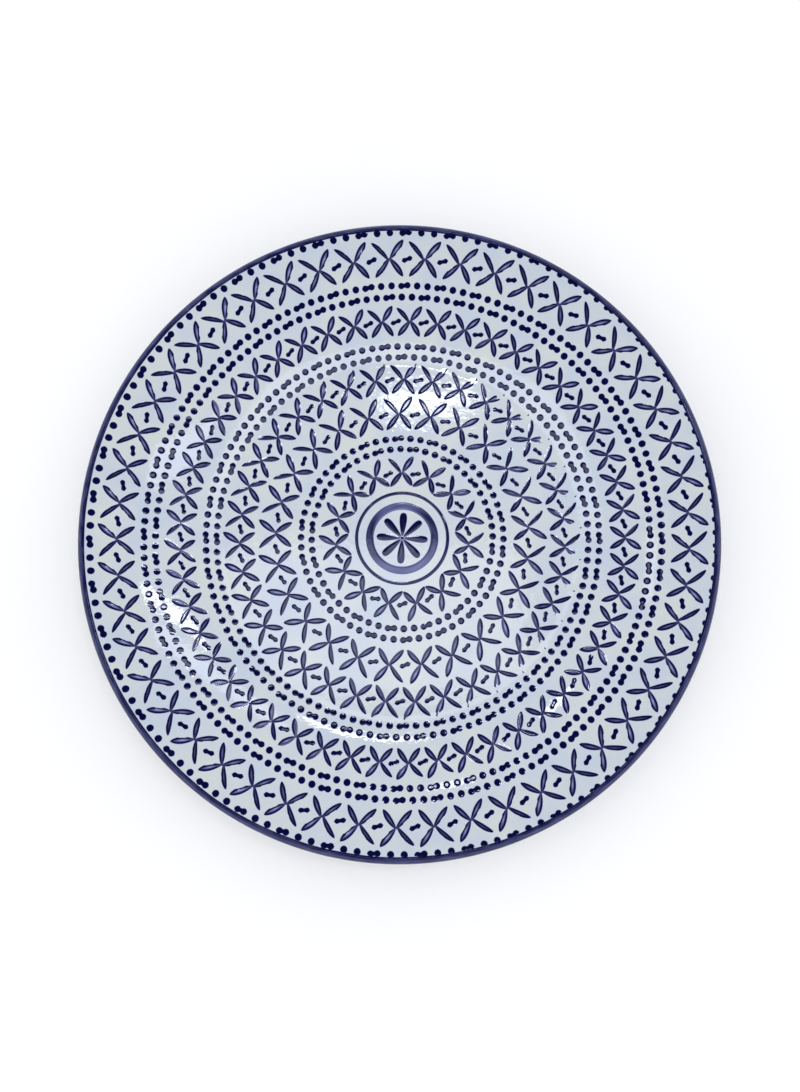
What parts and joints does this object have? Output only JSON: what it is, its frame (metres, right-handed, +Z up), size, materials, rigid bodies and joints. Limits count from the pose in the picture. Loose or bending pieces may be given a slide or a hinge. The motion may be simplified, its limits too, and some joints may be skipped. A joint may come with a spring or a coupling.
{
  "type": "hand painted ceramic plate",
  "caption": "Round glazed dinner plate with a flat well, a rising curved wall and a turned foot ring, painted with raised blue rows of petal crosses and dots round a rosette",
  "frame": {"origin": "centre of the foot ring, on the surface that the plate stands on", "axes": "+Z up out of the face, +X to the right of the painted pattern's zero turn; the plate is round about Z"},
  "size_m": [0.27, 0.27, 0.0256],
  "materials": {
    "fired_clay": "bare fired earthenware, matt and slightly gritty, seen only at the foot's edge",
    "white_glaze": "glossy cool white glaze with a faint blue tint and slight waves",
    "blue_paint": "raised glossy cobalt blue enamel, near black where thick, with a soft lilac bleed into the glaze"
  },
  "bodies": {
    "root": {"clay_body": "fired_clay", "face_glaze": "white_glaze", "back_glaze": "white_glaze", "foot_well_glaze": "white_glaze", "rim_band": "blue_paint", "rosette_dot": "blue_paint", "rosette_petals": "blue_paint", "rosette_thick_ring": "blue_paint", "rosette_thin_ring": "blue_paint", "cross_row_1": "blue_paint", "cross_row_2": "blue_paint", "cross_row_3": "blue_paint", "cross_row_4": "blue_paint", "cross_row_5": "blue_paint", "bud_row_1": "blue_paint", "bud_row_2": "blue_paint", "bud_row_3": "blue_paint", "bud_row_4": "blue_paint", "bud_row_5": "blue_paint", "dot_row_1": "blue_paint", "dot_row_2": "blue_paint", "dot_row_3": "blue_paint", "dot_row_4": "blue_paint", "dot_row_5": "blue_paint", "dot_row_6": "blue_paint", "rim_dots": "blue_paint"}
  },
  "joints": []
}
